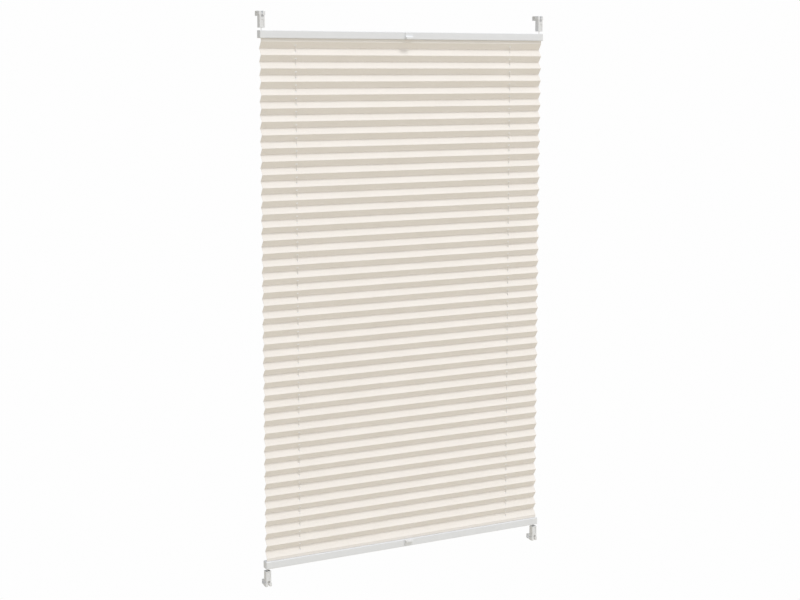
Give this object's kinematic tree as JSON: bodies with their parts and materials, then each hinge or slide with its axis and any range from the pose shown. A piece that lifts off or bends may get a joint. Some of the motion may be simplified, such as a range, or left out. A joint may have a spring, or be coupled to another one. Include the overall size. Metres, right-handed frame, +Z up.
{
  "type": "pleated blind",
  "caption": "Pleated window blind with a top and a bottom rail that slide on two taut cords held between four sash hook brackets.",
  "frame": {"origin": "centre of the whole blind's box: midway between the rails' ends, between the upper and lower brackets, and between the handles' lips and the hooks' lips", "axes": "+X along the rails to the right seen from the room, +Y from the room towards the window, +Z up"},
  "size_m": [0.7532, 0.0414, 1.337],
  "materials": {
    "fabric": "pleated polyester crepe, cream",
    "cord": "braided polyester, white",
    "rail": "white powder coat",
    "cap": "moulded, white",
    "handle": "moulded, white, satin",
    "inner_plastic": "extruded or moulded, off-white",
    "bracket": "moulded, white",
    "hook": "bent steel strip, white lacquer",
    "steel": "zinc plated"
  },
  "bodies": {
    "root_brackets": {"top_left_hook": "hook", "top_left_shoe": "bracket", "top_left_screw": "steel", "top_left_spring": "steel", "top_right_hook": "hook", "top_right_shoe": "bracket", "top_right_screw": "steel", "top_right_spring": "steel", "bottom_left_hook": "hook", "bottom_left_shoe": "bracket", "bottom_left_screw": "steel", "bottom_left_spring": "steel", "bottom_right_hook": "hook", "bottom_right_shoe": "bracket", "bottom_right_screw": "steel", "bottom_right_spring": "steel", "pleated_fabric": "fabric", "left_cord": "cord", "right_cord": "cord"},
    "top_rail": {"top_rail_profile": "rail", "top_rail_left_cap": "cap", "top_rail_right_cap": "cap", "top_rail_handle": "handle", "top_rail_strip": "inner_plastic", "top_rail_left_guide": "inner_plastic", "top_rail_right_guide": "inner_plastic"},
    "bottom_rail": {"bottom_rail_profile": "rail", "bottom_rail_left_cap": "cap", "bottom_rail_right_cap": "cap", "bottom_rail_handle": "handle", "bottom_rail_strip": "inner_plastic", "bottom_rail_left_guide": "inner_plastic", "bottom_rail_right_guide": "inner_plastic"},
    "top_left_cord_anchor": {"top_left_anchor": "inner_plastic"},
    "top_right_cord_anchor": {"top_right_anchor": "inner_plastic"},
    "bottom_left_cord_anchor": {"bottom_left_anchor": "inner_plastic"},
    "bottom_right_cord_anchor": {"bottom_right_anchor": "inner_plastic"}
  },
  "joints": [
    {"name": "top_rail_slide", "type": "slide", "parent": "root_brackets", "child": "top_rail", "axis": [0, 0, -1], "range_m": [0, 0.577], "deforming": ["pleated_fabric", "left_cord", "right_cord"]},
    {"name": "bottom_rail_slide", "type": "slide", "parent": "root_brackets", "child": "bottom_rail", "axis": [0, 0, 1], "range_m": [0, 0.577], "deforming": ["pleated_fabric", "left_cord", "right_cord"]},
    {"name": "top_left_anchor_slide", "type": "slide", "parent": "root_brackets", "child": "top_left_cord_anchor", "axis": [0, 0, -1], "range_m": [0, 0.005], "stiffness_N_per_m": 400, "springref_m": -0.004, "deforming": ["top_left_spring"]},
    {"name": "top_right_anchor_slide", "type": "slide", "parent": "root_brackets", "child": "top_right_cord_anchor", "axis": [0, 0, -1], "range_m": [0, 0.005], "stiffness_N_per_m": 400, "springref_m": -0.004, "deforming": ["top_right_spring"]},
    {"name": "bottom_left_anchor_slide", "type": "slide", "parent": "root_brackets", "child": "bottom_left_cord_anchor", "axis": [0, 0, 1], "range_m": [0, 0.005], "stiffness_N_per_m": 400, "springref_m": -0.004, "deforming": ["bottom_left_spring"]},
    {"name": "bottom_right_anchor_slide", "type": "slide", "parent": "root_brackets", "child": "bottom_right_cord_anchor", "axis": [0, 0, 1], "range_m": [0, 0.005], "stiffness_N_per_m": 400, "springref_m": -0.004, "deforming": ["bottom_right_spring"]}
  ]
}
